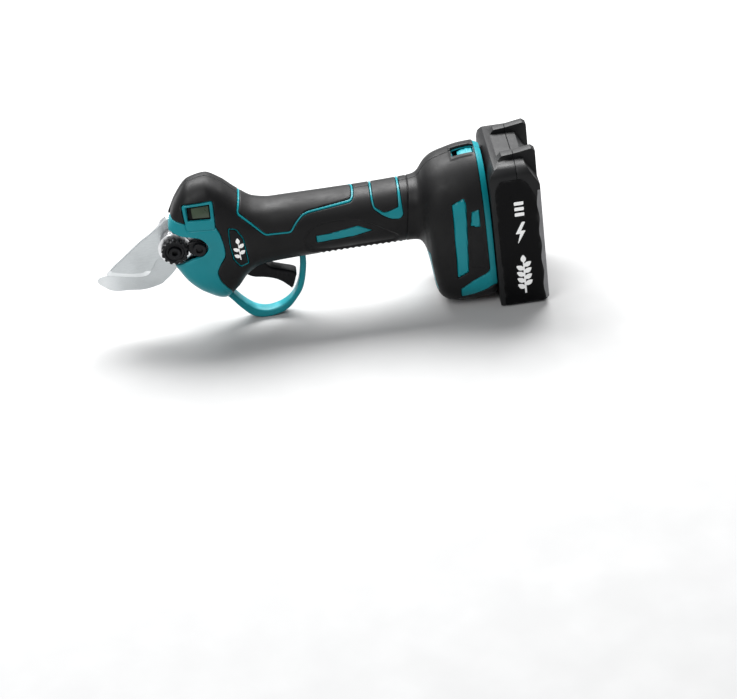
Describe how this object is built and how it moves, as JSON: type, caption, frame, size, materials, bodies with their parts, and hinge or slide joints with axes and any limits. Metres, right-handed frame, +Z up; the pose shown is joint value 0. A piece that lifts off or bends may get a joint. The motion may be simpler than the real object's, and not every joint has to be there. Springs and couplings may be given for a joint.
{
  "type": "battery electric pruner",
  "caption": "Cordless bypass pruning shear: geared moving blade over a hooked fixed blade, inline grip with trigger guard, and a slide-in battery at the rear.",
  "frame": {"origin": "bottom centre of the overall bounding box, on the plane the tool stands on (trigger guard and battery foot)", "axes": "+X from the blade tips to the battery, along the handle; +Z up; -Y is the tool's left side, where the display is"},
  "size_m": [0.3064, 0.075, 0.1136],
  "materials": {
    "battery_plastic": "spark-textured dark grey case",
    "black_plastic": "moulded black nylon",
    "blade_steel": "ground and lightly oiled",
    "cast_aluminium": "machined alloy",
    "cell_wrap": "shrink wrap",
    "circuit": "green solder mask",
    "copper_winding": "enamelled copper and laminations",
    "dark_elastomer": "fine-grained soft overmould",
    "dark_steel": "black oxide",
    "gear_steel": "hardened steel",
    "grip_elastomer": "textured soft grip",
    "lens": "smoked display window",
    "red_plastic": "satin red",
    "teal_shell": "satin teal nylon"
  },
  "bodies": {
    "housing": {"left_shell": "teal_shell", "right_shell": "teal_shell", "left_overmould": "dark_elastomer", "right_overmould": "dark_elastomer", "palm_grip": "grip_elastomer", "thumb_grip": "grip_elastomer", "head_cover_left": "teal_shell", "head_cover_right": "teal_shell", "trigger_guard": "teal_shell", "display_lens": "lens", "display_board": "circuit", "name_plate": "black_plastic", "housing_screw_1": "dark_steel", "housing_screw_2": "dark_steel", "housing_screw_3": "dark_steel", "head_frame": "cast_aluminium", "fixed_blade": "blade_steel", "pivot_bolt": "blade_steel", "pivot_washer": "blade_steel", "pivot_nut": "dark_steel", "lock_plate": "dark_steel", "lock_screw": "dark_steel", "blade_screw_1": "dark_steel", "blade_screw_2": "dark_steel", "ring_gear": "cast_aluminium", "gearbox_front": "cast_aluminium", "front_bearing": "gear_steel", "stator": "copper_winding", "motor_can": "dark_steel", "motor_end_cap": "cast_aluminium", "control_board": "circuit", "trigger_pin": "gear_steel", "battery_receiver": "black_plastic", "terminal_block": "black_plastic"},
    "cutter": {"moving_blade": "blade_steel", "sector_gear": "gear_steel", "sector_pin": "gear_steel"},
    "carrier": {"planet_carrier": "gear_steel", "bevel_pinion": "gear_steel"},
    "planet_1": {"planet_gear_1": "gear_steel"},
    "planet_2": {"planet_gear_2": "gear_steel"},
    "planet_3": {"planet_gear_3": "gear_steel"},
    "rotor": {"rotor_shaft": "gear_steel", "rotor_core": "dark_steel"},
    "trigger_lever": {"trigger": "black_plastic", "trigger_magnet": "gear_steel", "trigger_spring": "gear_steel"},
    "power_key": {"power_button": "teal_shell"},
    "battery": {"battery_cover": "battery_plastic", "battery_base": "battery_plastic", "battery_cell_1": "cell_wrap", "battery_cell_2": "cell_wrap", "battery_cell_3": "cell_wrap", "battery_cell_4": "cell_wrap", "battery_cell_5": "cell_wrap", "battery_board": "circuit", "gauge_panel": "black_plastic", "latch_spring": "gear_steel"},
    "latch": {"battery_latch": "red_plastic"},
    "gauge_key": {"gauge_button": "red_plastic"}
  },
  "joints": [
    {"name": "blade_pivot", "type": "hinge", "parent": "housing", "child": "cutter", "pos_m": [-0.09385, 0, 0.0692], "axis": [0, 1, 0], "range_deg": [0, 50]},
    {"name": "carrier_spin", "type": "hinge", "parent": "housing", "child": "carrier", "pos_m": [-0.05725, 0, 0.0692], "axis": [1, 0, 0], "range_deg": [0, 200.5]},
    {"name": "rotor_spin", "type": "hinge", "parent": "housing", "child": "rotor", "pos_m": [-0.01725, 0, 0.0692], "axis": [1, 0, 0], "range_deg": [0, 934]},
    {"name": "planet_spin_1", "type": "hinge", "parent": "carrier", "child": "planet_1", "pos_m": [-0.04825, 0, 0.0776], "axis": [1, 0, 0], "range_deg": [-551, 0]},
    {"name": "planet_spin_2", "type": "hinge", "parent": "carrier", "child": "planet_2", "pos_m": [-0.04825, -0.00727, 0.065], "axis": [1, 0, 0], "range_deg": [-551, 0]},
    {"name": "planet_spin_3", "type": "hinge", "parent": "carrier", "child": "planet_3", "pos_m": [-0.04825, 0.00727, 0.065], "axis": [1, 0, 0], "range_deg": [-551, 0]},
    {"name": "trigger_pull", "type": "hinge", "parent": "housing", "child": "trigger_lever", "pos_m": [-0.04825, 0, 0.046], "axis": [0, -1, 0], "range_deg": [0, 12], "stiffness_Nm_per_rad": 0.6, "springref_deg": -11.46, "deforming": ["trigger_spring"]},
    {"name": "power_press", "type": "slide", "parent": "housing", "child": "power_key", "axis": [0, 0, -1], "range_m": [0, 0.0008], "stiffness_N_per_m": 600, "springref_m": -0.0008},
    {"name": "battery_slide", "type": "slide", "parent": "housing", "child": "battery", "axis": [0, 0, -1], "range_m": [0, 0.09]},
    {"name": "latch_press", "type": "slide", "parent": "battery", "child": "latch", "axis": [1, 0, 0], "range_m": [0, 0.002], "stiffness_N_per_m": 800, "springref_m": -0.001, "deforming": ["latch_spring"]},
    {"name": "gauge_press", "type": "slide", "parent": "battery", "child": "gauge_key", "axis": [0, 0, 1], "range_m": [0, 0.0008], "stiffness_N_per_m": 400, "springref_m": -0.0008}
  ],
  "couplings": [
    {"joint": "carrier_spin", "follows": "blade_pivot", "ratio": 4},
    {"joint": "rotor_spin", "follows": "blade_pivot", "ratio": 18.667},
    {"joint": "planet_spin_1", "follows": "blade_pivot", "ratio": -11},
    {"joint": "planet_spin_2", "follows": "blade_pivot", "ratio": -11},
    {"joint": "planet_spin_3", "follows": "blade_pivot", "ratio": -11}
  ]
}
